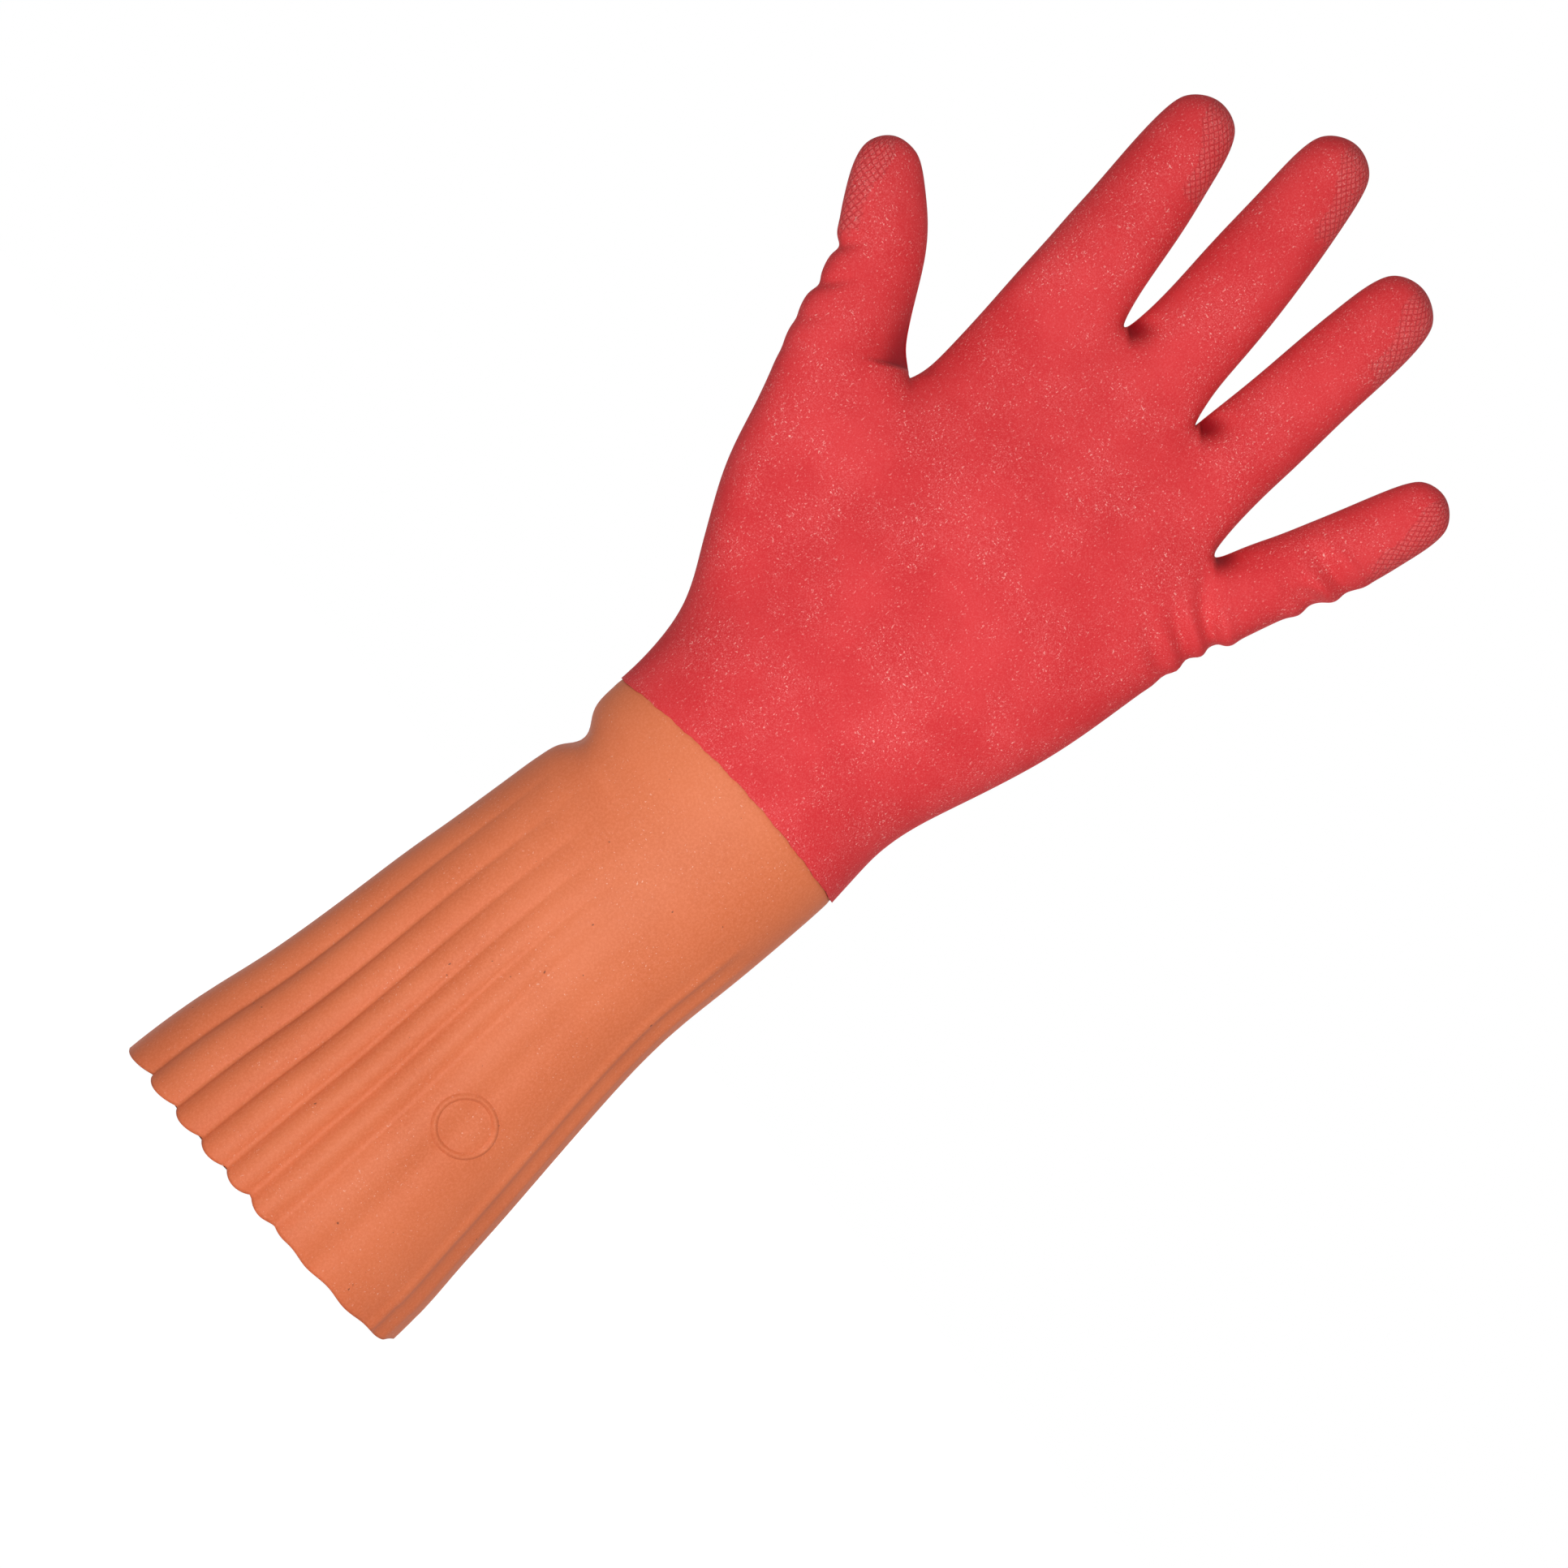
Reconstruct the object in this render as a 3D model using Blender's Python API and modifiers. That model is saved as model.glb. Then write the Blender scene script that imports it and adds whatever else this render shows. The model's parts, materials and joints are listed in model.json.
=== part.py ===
"""A dipped rubber glove in two colours, cut where it bends into pieces that turn on each other.

Metres. +Z runs from the hem to the fingertips, the thumb is towards -X and the back of the hand towards -Y.
"""
from dataclasses import dataclass
from math import cos, pi, radians, sin, sqrt, tan

import bmesh
import bpy
from mathutils import Vector

MM = 0.001

# Rubber wall, with the flock that is bonded to its inside, and the gaps between pieces
COAT_WALL = 1.2 * MM
RING_GAP = 0.3 * MM
FOLD_GAP = 0.4 * MM

# Cuff: from the hem, where the glove stands, up to the edge of the red coat
CUFF_LENGTH = 133 * MM
HEM_WIDTH = 83.6 * MM
HEM_DEPTH = 60 * MM
WAIST_WIDTH = 64 * MM
WAIST_DEPTH = 44 * MM
FLARE_LENGTH = 100 * MM
FLARE_CURVE = 1.15
FLUTE_COUNT = 6
FLUTE_HEIGHT = 1.1 * MM
FLUTE_LENGTH = 105 * MM

# Raised ring on the back of the cuff
RING_RADIUS = 6.4 * MM
RING_BEAD = 0.5 * MM
RING_ACROSS = 17.4 * MM
RING_UP = 44.5 * MM
RING_STEPS = 20

# Hand: sizes up from the edge of the red coat and across from the middle of the wrist
WRIST_WIDTH = 65 * MM
WRIST_DEPTH = 43 * MM
THENAR_START = 24 * MM
THENAR_MIDDLE = 55 * MM
THENAR_BULGE = 3 * MM
KNUCKLE_LEVEL = 99 * MM
PALM_EDGE_LOW = 31.8 * MM
PALM_EDGE_MIDDLE = 39.8 * MM
PALM_EDGE_HIGH = 43.4 * MM
KNUCKLE_EDGE = 45.4 * MM
THENAR_EDGE = -39 * MM
INDEX_EDGE = -42 * MM
PALM_DEPTH_LOW = 38 * MM
PALM_DEPTH_MIDDLE = 34 * MM
PALM_DEPTH_HIGH = 29.5 * MM
KNUCKLE_DEPTH = 26 * MM

# Webs between the digits: across and up
THUMB_WEB = (-43 * MM, 84 * MM)
WEBS = (
    (-44 * MM, 116 * MM),
    (-18.7 * MM, 126.5 * MM),
    (7 * MM, 124.5 * MM),
    (30.2 * MM, 108.5 * MM),
    (46.5 * MM, 99 * MM),
)
WEB_DEPTH = 13 * MM

# Bends: how far each one closes, in degrees, and where its axis lies
WRIST_BEND = 30
KNUCKLE_BEND = 60
FINGER_ROOT_BEND = 80
FINGER_TIP_BEND = 60
THUMB_ROOT_BEND = 40
THUMB_TIP_BEND = 60
BEND_SPARE = 1
WRIST_AXIS_DROP = 2 * MM
KNUCKLE_AXIS_UP = 91 * MM
KNUCKLE_AXIS_TILT = 8.1
KNUCKLE_AXIS_DEPTH = 6.5 * MM
FINGER_AXIS_DEPTH = 3 * MM
FOLD_HALF_WIDTH = 1.2 * MM
FOLD_OVERCUT = 2 * MM
FINGER_CLEARANCE = 0.5 * MM

# Mesh density and how a ring of eight cage points draws in under subdivision
CAGE_LEVELS = 1
RING_OF_8_GROWTH = 6 / (4 + 2 * cos(pi / 4))
PALM_GROWTH = 6 / (4 + 2 * cos(pi / 10))
TIP_GROWTH = 1.5 * MM
FORMER_TAIL = 45 * MM
BLOCK_REACH = 90 * MM

RED_RUBBER = (0.66, 0.046, 0.052)
ORANGE_RUBBER = (0.72, 0.19, 0.085)


@dataclass(frozen=True)
class Digit:
    """One finger or the thumb: its root, the way it leans, its phalanges and its girth."""
    name: str
    tag: int
    root: tuple
    lean: float
    stub: float
    lower: float
    tip: float
    bow: float
    root_width: float
    tip_width: float
    root_thickness: float
    tip_thickness: float
    tip_round: float
    root_bend: float
    tip_bend: float

    @property
    def length(self):
        return self.stub + self.lower + self.tip


THUMB = Digit(
    name="thumb", tag=5, root=(-53.2 * MM, 79.3 * MM), lean=-36.4,
    stub=6.5 * MM, lower=15 * MM, tip=27.5 * MM, bow=2.4 * MM,
    root_width=24.5 * MM, tip_width=18.6 * MM, root_thickness=22 * MM, tip_thickness=16 * MM,
    tip_round=18 * MM, root_bend=THUMB_ROOT_BEND, tip_bend=THUMB_TIP_BEND,
)
INDEX = Digit(
    name="index", tag=1, root=(-32.1 * MM, 127.7 * MM), lean=-12.6,
    stub=9 * MM, lower=18 * MM, tip=22 * MM, bow=0.6 * MM,
    root_width=23.2 * MM, tip_width=18 * MM, root_thickness=19 * MM, tip_thickness=15.5 * MM,
    tip_round=14 * MM, root_bend=FINGER_ROOT_BEND, tip_bend=FINGER_TIP_BEND,
)
MIDDLE = Digit(
    name="middle", tag=2, root=(-6.9 * MM, 129 * MM), lean=-9,
    stub=12 * MM, lower=26 * MM, tip=24 * MM, bow=0.6 * MM,
    root_width=22.4 * MM, tip_width=18.4 * MM, root_thickness=19.5 * MM, tip_thickness=15.5 * MM,
    tip_round=14 * MM, root_bend=FINGER_ROOT_BEND, tip_bend=FINGER_TIP_BEND,
)
RING = Digit(
    name="ring", tag=3, root=(17.4 * MM, 122.9 * MM), lean=-1.3,
    stub=10.5 * MM, lower=22.5 * MM, tip=24 * MM, bow=0.6 * MM,
    root_width=20.8 * MM, tip_width=18.2 * MM, root_thickness=18.5 * MM, tip_thickness=15 * MM,
    tip_round=14 * MM, root_bend=FINGER_ROOT_BEND, tip_bend=FINGER_TIP_BEND,
)
LITTLE = Digit(
    name="little", tag=4, root=(39.4 * MM, 110.2 * MM), lean=16.9,
    stub=11 * MM, lower=17 * MM, tip=20 * MM, bow=1.9 * MM,
    root_width=18.4 * MM, tip_width=15.6 * MM, root_thickness=16.5 * MM, tip_thickness=13.5 * MM,
    tip_round=12 * MM, root_bend=FINGER_ROOT_BEND, tip_bend=FINGER_TIP_BEND,
)
FINGERS = (INDEX, MIDDLE, RING, LITTLE)
DIGITS = (THUMB, *FINGERS)

for old in list(bpy.data.objects):
    bpy.data.objects.remove(old, do_unlink=True)

glove = bpy.data.collections.new("rubber_glove")
cutters = bpy.data.collections.new("cutters")
bpy.context.scene.collection.children.link(glove)
bpy.context.scene.collection.children.link(cutters)


def rubber_material(name, color, roughness):
    material = bpy.data.materials.new(name)
    material.use_nodes = True
    shader = material.node_tree.nodes["Principled BSDF"]
    shader.inputs["Base Color"].default_value = (*color, 1)
    shader.inputs["Roughness"].default_value = roughness
    shader.inputs["Metallic"].default_value = 0
    return material


red_rubber = rubber_material("red_rubber", RED_RUBBER, 0.6)
orange_rubber = rubber_material("orange_rubber", ORANGE_RUBBER, 0.55)


def new_piece(name, mesh, parent, material):
    piece = bpy.data.objects.new(name, mesh)
    mesh.materials.append(material)
    piece.parent = parent
    glove.objects.link(piece)
    return piece


def new_cutter(name, mesh, parent=None):
    cutter = bpy.data.objects.new(name, mesh)
    cutter.parent = parent
    cutter.hide_render = True
    cutter.display_type = "WIRE"
    cutters.objects.link(cutter)
    return cutter


def cut(piece, operation, tool):
    step = piece.modifiers.new(operation.lower(), "BOOLEAN")
    step.operation = operation
    step.solver = "EXACT"
    step.object = tool


def new_axis(name, parent, location, lean=0):
    """An empty on a bend's axis: local X along the axis, local Z up the piece that turns."""
    axis = bpy.data.objects.new(name, None)
    axis.parent = parent
    axis.location = location
    axis.rotation_euler = (0, radians(lean), 0)
    axis.empty_display_size = FOLD_HALF_WIDTH
    glove.objects.link(axis)
    return axis


def prism(name, outline, half_width):
    """A block with the given outline, (palmward, up) points, swept across the hand to both sides."""
    mesh = bpy.data.meshes.new(name)
    form = bmesh.new()
    face = form.faces.new([form.verts.new((-half_width, palmward, up)) for palmward, up in outline])
    swept = bmesh.ops.extrude_face_region(form, geom=[face])
    moved = [part for part in swept["geom"] if isinstance(part, bmesh.types.BMVert)]
    bmesh.ops.translate(form, verts=moved, vec=(2 * half_width, 0, 0))
    bmesh.ops.recalc_face_normals(form, faces=form.faces)
    form.to_mesh(mesh)
    form.free()
    return mesh


def palm_loop(up, left, right, depth, thumb_angle):
    """Twenty points round the hand: thumb side, nine on the back, little-finger side, nine on the palm."""
    middle = (left + right) / 2
    half_width = (right - left) / 2 * PALM_GROWTH
    half_depth = depth / 2 * PALM_GROWTH
    first, last = pi - radians(thumb_angle), pi / 10
    back = [first + (last - first) * step / 8 for step in range(9)]
    angles = [pi, *back, 0, *[-angle for angle in reversed(back)]]
    return [Vector((middle + half_width * cos(a), -half_depth * sin(a), up)) for a in angles]


def digit_width(digit, reach):
    """Width and thickness of a digit at a distance up from its root."""
    straight = digit.length - digit.tip_round
    share = min(max(reach / straight, 0), 1)
    width = digit.root_width + (digit.tip_width - digit.root_width) * share
    thickness = digit.root_thickness + (digit.tip_thickness - digit.root_thickness) * share
    rounding = sqrt(1 - (max(reach - straight, 0) / digit.tip_round) ** 2)
    return width * rounding, thickness * rounding


def digit_frame(digit, reach):
    """Middle of a digit at a distance up from its root, and the ways along and across it."""
    along = Vector((sin(radians(digit.lean)), 0, cos(radians(digit.lean))))
    across = Vector((along.z, 0, -along.x))
    middle = Vector((digit.root[0], 0, digit.root[1])) + along * reach
    return middle + across * (digit.bow * sin(pi * max(reach, 0) / digit.length)), along, across


def digit_ring(digit, reach):
    """Eight points round a digit, from its thumb-side back corner over the back to its thumb side."""
    middle, along, across = digit_frame(digit, reach)
    width, thickness = digit_width(digit, reach)
    half_width = width / 2 * RING_OF_8_GROWTH
    half_thickness = thickness / 2 * RING_OF_8_GROWTH
    turns = [radians(135 - 45 * step) for step in range(8)]
    return [middle + across * half_width * cos(a) + Vector((0, -half_thickness * sin(a), 0)) for a in turns]


def finger_roots():
    """The hand's last loop, at the finger roots: points on the back, the webs and points on the palm."""
    back, palm, web = [], [], []
    for place, (across, up) in enumerate(WEBS):
        back.append(Vector((across, -WEB_DEPTH / 2, up)))
        palm.append(Vector((across, WEB_DEPTH / 2, up)))
        web.append(Vector((across, 0, up)))
        if place < len(FINGERS):
            half = FINGERS[place].root_thickness / 2 * RING_OF_8_GROWTH
            middle = (Vector((across, 0, up)) + Vector((WEBS[place + 1][0], 0, WEBS[place + 1][1]))) / 2
            back.append(middle + Vector((0, -half, 0)))
            palm.append(middle + Vector((0, half, 0)))
    return back, palm, web


def former_cage():
    """The hand and its five digits as one closed cage, its faces tagged with the digit they belong to."""
    cage = bmesh.new()
    loops = [
        palm_loop(-FORMER_TAIL, -WRIST_WIDTH / 2, WRIST_WIDTH / 2, WRIST_DEPTH, 18),
        palm_loop(-FORMER_TAIL / 3, -WRIST_WIDTH / 2, WRIST_WIDTH / 2, WRIST_DEPTH, 18),
        palm_loop(THENAR_START / 4, -WRIST_WIDTH / 2, WRIST_WIDTH / 2, WRIST_DEPTH, 24),
        palm_loop(THENAR_START, THENAR_EDGE, PALM_EDGE_LOW, PALM_DEPTH_LOW, 38),
        palm_loop(THENAR_MIDDLE, THENAR_EDGE, PALM_EDGE_MIDDLE, PALM_DEPTH_MIDDLE, 46),
        palm_loop(THUMB_WEB[1], THUMB_WEB[0], PALM_EDGE_HIGH, PALM_DEPTH_HIGH, 44),
        palm_loop(KNUCKLE_LEVEL, INDEX_EDGE, KNUCKLE_EDGE, KNUCKLE_DEPTH, 30),
    ]
    thumb_rows = (3, 4)
    rings = [[cage.verts.new(point) for point in loop] for loop in loops]
    back, palm, web = ([cage.verts.new(point) for point in row] for row in finger_roots())
    rings.append([web[0], *back, web[4], *reversed(palm)])

    def face(corners, tag):
        cage.faces.new(corners).material_index = tag

    def tube(start, digit, reaches):
        lower = start
        for points in reaches:
            upper = [cage.verts.new(point) for point in points]
            for i in range(8):
                face((lower[i - 1], lower[i], upper[i], upper[i - 1]), digit.tag)
            lower = upper
        middle, along, across = digit_frame(digit, digit.length)
        end = cage.verts.new(middle + along * TIP_GROWTH)
        for i in range(0, 8, 2):
            face((end, lower[i], lower[i + 1], lower[(i + 2) % 8]), digit.tag)

    for row, (lower, upper) in enumerate(zip(rings, rings[1:])):
        sides = range(1, 19) if row in thumb_rows else range(20)
        for i in sides:
            following = (i + 1) % 20
            face((lower[i], lower[following], upper[following], upper[i]), 0)
    face(list(reversed(rings[0])), 0)

    low, mid, high = rings[3], rings[4], rings[5]
    thumb_start = [low[1], mid[1], high[1], high[0], high[19], mid[19], low[19], low[0]]
    thumb_root = digit_ring(THUMB, 0)
    outward = digit_frame(THUMB, 0)[2] * -THENAR_BULGE
    halfway = []
    for step, (vert, point) in enumerate(zip(thumb_start, thumb_root)):
        swell = max(0, -cos(radians(135 - 45 * step)))
        halfway.append((vert.co + point) / 2 + outward * swell)
    tube(thumb_start, THUMB, [halfway, thumb_root, *digit_rings(THUMB)])
    bmesh.ops.delete(cage, geom=[mid[0]], context="VERTS")
    for place, finger in enumerate(FINGERS):
        at = 2 * place
        start = [
            back[at], back[at + 1], back[at + 2], web[place + 1],
            palm[at + 2], palm[at + 1], palm[at], web[place],
        ]
        tube(start, finger, digit_rings(finger))
    bmesh.ops.recalc_face_normals(cage, faces=cage.faces)
    mesh = bpy.data.meshes.new("former_cage")
    cage.to_mesh(mesh)
    cage.free()
    return mesh


def digit_rings(digit):
    """The cage's rings up a digit: at its joints, half way between, and round its tip."""
    lower_joint = digit.stub
    tip_joint = digit.stub + digit.lower
    round_start = digit.length - digit.tip_round
    reaches = [
        lower_joint,
        (lower_joint + tip_joint) / 2,
        max(round_start, tip_joint),
        round_start + 0.6 * digit.tip_round,
        round_start + 0.93 * digit.tip_round,
    ]
    return [digit_ring(digit, reach) for reach in reaches]


hand_up = Vector((0, 0, CUFF_LENGTH))
former_mesh = former_cage()
for vert in former_mesh.vertices:
    vert.co += hand_up


def former_at(name, inset):
    """The former's smooth surface, moved in by a distance, as a mesh."""
    former = bpy.data.objects.new(name, former_mesh)
    cutters.objects.link(former)
    smooth = former.modifiers.new("smooth", "SUBSURF")
    smooth.levels = CAGE_LEVELS
    smooth.render_levels = CAGE_LEVELS
    if inset:
        shrink = former.modifiers.new("shrink", "DISPLACE")
        shrink.strength = -inset
        shrink.mid_level = 0
    evaluated = former.evaluated_get(bpy.context.evaluated_depsgraph_get())
    mesh = bpy.data.meshes.new_from_object(evaluated)
    bpy.data.objects.remove(former)
    mesh.name = name
    return mesh


def former_part(name, source, tags):
    """The part of the former's surface that has the given tags, closed where the rest is taken off."""
    mesh = bpy.data.meshes.new(name)
    form = bmesh.new()
    form.from_mesh(source)
    others = [face for face in form.faces if face.material_index not in tags]
    bmesh.ops.delete(form, geom=others, context="FACES")
    rim = [edge for edge in form.edges if edge.is_boundary]
    filled = bmesh.ops.holes_fill(form, edges=rim, sides=0)
    bmesh.ops.triangulate(form, faces=filled["faces"])
    bmesh.ops.recalc_face_normals(form, faces=form.faces)
    form.to_mesh(mesh)
    form.free()
    return mesh


surface_insets = {"clearance": -FINGER_CLEARANCE, "outside": 0, "inside": COAT_WALL}
surface_meshes = {name: former_at(name, inset) for name, inset in surface_insets.items()}
spread = [vert.co.x for vert in surface_meshes["outside"].vertices]
across_shift = -(min(spread) + max(spread)) / 2

base = bpy.data.objects.new("glove", None)
base.location = (across_shift, 0, 0)
glove.objects.link(base)


def part_solids(label, tags):
    """The outside, the inside and a slightly swollen outside of one part of the former, as cutters."""
    solids = {}
    for name, mesh in surface_meshes.items():
        title = label + "_" + name
        solids[name] = new_cutter(title, former_part(title, mesh, tags), base)
    return solids


PALM_TAG = 0
hand_solids = part_solids("hand", [PALM_TAG, *[digit.tag for digit in DIGITS]])
mitten_solids = part_solids("mitten", [PALM_TAG, *[finger.tag for finger in FINGERS]])
digit_solids = {digit.name: part_solids(digit.name, [digit.tag]) for digit in DIGITS}


def coat(name, outline, half_width, parent, solids):
    """The rubber of one part of the glove inside a block."""
    piece = new_piece(name, prism(name, outline, half_width), parent, red_rubber)
    cut(piece, "INTERSECT", solids["outside"])
    cut(piece, "DIFFERENCE", solids["inside"])
    return piece


def seam(side, gap, bend, palm_reach, up=0):
    """Points down the face of a cut at a bend: straight across the back, sloped away under the axis."""
    slope = tan(radians(bend / 2 + BEND_SPARE))
    start = FOLD_HALF_WIDTH - gap
    return [
        (-BLOCK_REACH, up + side * start),
        (0, up + side * start),
        (palm_reach, up + side * (start + palm_reach * slope)),
    ]


def beyond(faces, end, palm_reach):
    """A block's outline from the face of a cut up to its end."""
    return [*faces, (palm_reach, end), (-BLOCK_REACH, end)]


def between(lower_faces, upper_faces):
    return [*lower_faces, *reversed(upper_faces)]


# Cuff


def cuff_size(up):
    """Half width and half depth of the cuff at a height above the hem."""
    flare = max(0, 1 - up / FLARE_LENGTH) ** FLARE_CURVE
    wrist = max(0, (up - FLARE_LENGTH) / (CUFF_LENGTH - FLARE_LENGTH))
    width = WAIST_WIDTH + (HEM_WIDTH - WAIST_WIDTH) * flare + (WRIST_WIDTH - WAIST_WIDTH) * wrist
    depth = WAIST_DEPTH + (HEM_DEPTH - WAIST_DEPTH) * flare + (WRIST_DEPTH - WAIST_DEPTH) * wrist
    return width / 2, depth / 2


def cuff_point(turn, up):
    """A point on the cuff; turn is 0 on the little-finger side, 0.25 on the back, 0.5 on the thumb side."""
    half_width, half_depth = cuff_size(up)
    across_quarter = (turn - 0.25) * 4
    ripple = 0
    if 0 < across_quarter < 1:
        fade = max(0, 1 - up / FLUTE_LENGTH)
        ripple = -FLUTE_HEIGHT * fade * sin(pi * FLUTE_COUNT * across_quarter) ** 2
    angle = 2 * pi * turn
    return Vector((
        (half_width + ripple) * cos(angle),
        -(half_depth + ripple) * sin(angle),
        up,
    ))


def open_loft(name):
    """An open tube through rings of the cuff, its faces outwards."""
    mesh = bpy.data.meshes.new(name)
    form = bmesh.new()
    rings = [[form.verts.new(cuff_point(turn, up)) for turn in sleeve_turns] for up in sleeve_ups]
    for lower, upper in zip(rings, rings[1:]):
        for i in range(len(sleeve_turns)):
            form.faces.new((lower[i - 1], upper[i - 1], upper[i], lower[i]))
    form.to_mesh(mesh)
    form.free()
    return mesh


def shell(piece):
    skin = piece.modifiers.new("wall", "SOLIDIFY")
    skin.thickness = COAT_WALL
    skin.offset = -1
    skin.use_even_offset = True


flute_steps = 4 * FLUTE_COUNT
fluted_turns = [0.25 + 0.25 * step / flute_steps for step in range(flute_steps)]
plain_turns = [0.5 + 0.75 * step / 27 for step in range(27)]
sleeve_turns = [*fluted_turns, *plain_turns]
sleeve_top = CUFF_LENGTH + FOLD_OVERCUT
flare_ups = [share * FLARE_LENGTH for share in (0.25, 0.5, 0.8, 1)]
sleeve_ups = [-FOLD_OVERCUT, *flare_ups, sleeve_top]

wrist_up = CUFF_LENGTH - WRIST_AXIS_DROP
wrist_slope = tan(radians(WRIST_BEND))
half_block = BLOCK_REACH / 2


def wrist_vee(gap):
    """The cuff's top edge: highest on the axis and sloped away towards the back and the palm."""
    peak = wrist_up - gap
    low = peak - half_block * wrist_slope
    return [(-half_block, low), (0, peak), (half_block, low)]


def flat_top(up):
    return [(half_block, up), (-half_block, up)]


def cuff_cutter(name, outline):
    return new_cutter(name, prism(name, outline, BLOCK_REACH), base)


above_wrist = cuff_cutter("above_wrist", [*wrist_vee(FOLD_HALF_WIDTH), *flat_top(2 * CUFF_LENGTH)])
wrist_wedge = cuff_cutter(
    "wrist_wedge", [*wrist_vee(FOLD_HALF_WIDTH - FOLD_GAP), *flat_top(CUFF_LENGTH - FOLD_GAP)])
under_hem = cuff_cutter("under_hem", [(-half_block, -half_block), (half_block, -half_block), *flat_top(0)])

sleeve = new_piece("cuff_sleeve", open_loft("cuff_sleeve"), base, orange_rubber)
shell(sleeve)
cut(sleeve, "DIFFERENCE", under_hem)
cut(sleeve, "DIFFERENCE", above_wrist)

wrist_fold = new_piece("wrist_fold", open_loft("wrist_fold"), base, orange_rubber)
shell(wrist_fold)
cut(wrist_fold, "INTERSECT", wrist_wedge)


def raised_ring():
    """A bead bent to lie on the back of the cuff."""
    curve = bpy.data.curves.new("size_ring", "CURVE")
    curve.dimensions = "3D"
    curve.bevel_depth = RING_BEAD
    curve.bevel_resolution = 1
    spline = curve.splines.new("POLY")
    spline.points.add(RING_STEPS - 1)
    spline.use_cyclic_u = True
    for step, point in enumerate(spline.points):
        angle = 2 * pi * step / RING_STEPS
        across = RING_ACROSS + RING_RADIUS * cos(angle)
        up = RING_UP + RING_RADIUS * sin(angle)
        half_width, half_depth = cuff_size(up)
        back = half_depth * sqrt(1 - (across / half_width) ** 2)
        outward = Vector((across / half_width ** 2, -back / half_depth ** 2, 0)).normalized()
        seat = Vector((across, -back, up)) + outward * (RING_BEAD + RING_GAP)
        point.co = (*seat, 1)
    curve.materials.append(orange_rubber)
    ring = bpy.data.objects.new("size_ring", curve)
    ring.parent = base
    glove.objects.link(ring)


raised_ring()

# Hand, up to the knuckles, and the knuckles, up to the roots of the fingers

wrist_axis = new_axis("wrist_axis", base, (0, 0, wrist_up))
knuckle_axis = new_axis(
    "knuckle_axis", wrist_axis,
    (0, KNUCKLE_AXIS_DEPTH, CUFF_LENGTH + KNUCKLE_AXIS_UP - wrist_up), KNUCKLE_AXIS_TILT)
knuckle_reach = KNUCKLE_DEPTH / 2 - KNUCKLE_AXIS_DEPTH + FOLD_OVERCUT

past_knuckles = new_cutter(
    "past_knuckles",
    prism(
        "past_knuckles",
        beyond(seam(-1, 0, KNUCKLE_BEND, knuckle_reach), 2 * BLOCK_REACH, knuckle_reach), 2 * BLOCK_REACH),
    knuckle_axis,
)
cut(past_knuckles, "INTERSECT", mitten_solids["clearance"])
hand_outline = [(-half_block, WRIST_AXIS_DROP), (half_block, WRIST_AXIS_DROP), *flat_top(3 * BLOCK_REACH)]
hand_coat = coat("hand_coat", hand_outline, 2 * BLOCK_REACH, wrist_axis, hand_solids)
cut(hand_coat, "DIFFERENCE", past_knuckles)

coat(
    "knuckle_fold",
    between(seam(-1, FOLD_GAP, KNUCKLE_BEND, knuckle_reach), seam(1, FOLD_GAP, KNUCKLE_BEND, knuckle_reach)),
    2 * BLOCK_REACH, knuckle_axis, mitten_solids,
)
knuckle_coat = coat(
    "knuckle_coat",
    beyond(seam(1, 0, KNUCKLE_BEND, knuckle_reach), 2 * BLOCK_REACH, knuckle_reach),
    2 * BLOCK_REACH, knuckle_axis, mitten_solids,
)

# Thumb and fingers


def axis_in(parent, place):
    """A point of the glove, given in the base's own axes, as a location under a parent empty."""
    bpy.context.view_layer.update()
    return parent.matrix_world.inverted() @ (base.matrix_world @ place)


def bend_digit(digit, parent, parent_lean, stub):
    """The folds and coats of a digit, and the cut that ends the stub it grows from."""
    solids = digit_solids[digit.name]
    reach = digit.root_thickness / 2 - FINGER_AXIS_DEPTH + FOLD_OVERCUT
    half = digit.root_width
    end = digit.lower + digit.tip + 2 * TIP_GROWTH
    middle, along, across = digit_frame(digit, 0)
    joint = middle + along * digit.stub + hand_up + Vector((0, FINGER_AXIS_DEPTH, 0))
    root_axis = new_axis(digit.name + "_root_axis", parent, axis_in(parent, joint), digit.lean - parent_lean)
    tip_axis = new_axis(digit.name + "_tip_axis", root_axis, (0, 0, digit.lower))

    past_root = new_cutter(
        digit.name + "_past_root",
        prism(digit.name + "_past_root", beyond(seam(-1, 0, digit.root_bend, reach), end, reach), half),
        root_axis,
    )
    cut(past_root, "INTERSECT", solids["clearance"])
    cut(stub, "DIFFERENCE", past_root)

    root_fold = between(seam(-1, FOLD_GAP, digit.root_bend, reach), seam(1, FOLD_GAP, digit.root_bend, reach))
    coat(digit.name + "_root_fold", root_fold, half, root_axis, solids)
    lower = between(
        seam(1, 0, digit.root_bend, reach), seam(-1, 0, digit.tip_bend, reach, digit.lower))
    coat(digit.name + "_lower_coat", lower, half, root_axis, solids)
    tip_fold = between(seam(-1, FOLD_GAP, digit.tip_bend, reach), seam(1, FOLD_GAP, digit.tip_bend, reach))
    coat(digit.name + "_tip_fold", tip_fold, half, tip_axis, solids)
    tip = beyond(seam(1, 0, digit.tip_bend, reach), digit.tip + 2 * TIP_GROWTH, reach)
    coat(digit.name + "_tip_coat", tip, half, tip_axis, solids)


bend_digit(THUMB, wrist_axis, 0, hand_coat)
for finger in FINGERS:
    bend_digit(finger, knuckle_axis, KNUCKLE_AXIS_TILT, knuckle_coat)
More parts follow.
